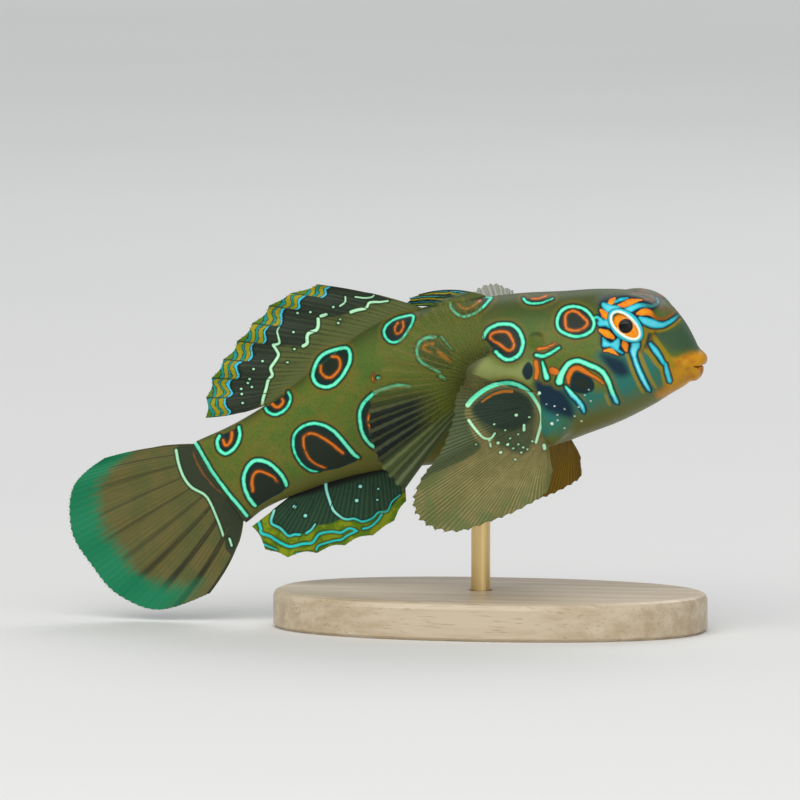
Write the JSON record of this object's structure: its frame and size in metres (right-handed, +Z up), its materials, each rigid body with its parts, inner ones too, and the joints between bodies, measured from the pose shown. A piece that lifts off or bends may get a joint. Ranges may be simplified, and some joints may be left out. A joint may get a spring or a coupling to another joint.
{
  "type": "spotted mandarinfish display model",
  "caption": "Life-size still model of a small round-bodied reef fish with ringed spots, swimming with spread fins, head raised and tail drooping, on a flat oval base and a rod.",
  "frame": {"origin": "middle of the underside of the stand's base", "axes": "+X towards the fish's head, +Z up, -Y towards the fish's right side, the side that the picture shows"},
  "size_m": [0.0683, 0.029, 0.0359],
  "materials": {
    "fish_skin": "satin",
    "fish_fin": "satin",
    "fish_eye": "wet gloss",
    "stand_wood": "satin varnish",
    "stand_rod": "satin"
  },
  "bodies": {
    "root": {"head": "fish_skin", "torso": "fish_skin", "tail_base": "fish_skin", "eye_right": "fish_eye", "eye_left": "fish_eye", "dorsal_fin_first": "fish_fin", "dorsal_fin_second": "fish_fin", "anal_fin": "fish_fin", "caudal_fin": "fish_fin", "pectoral_fin_right": "fish_fin", "pectoral_fin_left": "fish_fin", "pelvic_fin_right": "fish_fin", "pelvic_fin_left": "fish_fin", "stand_base": "stand_wood", "stand_rod": "stand_rod"}
  },
  "joints": []
}
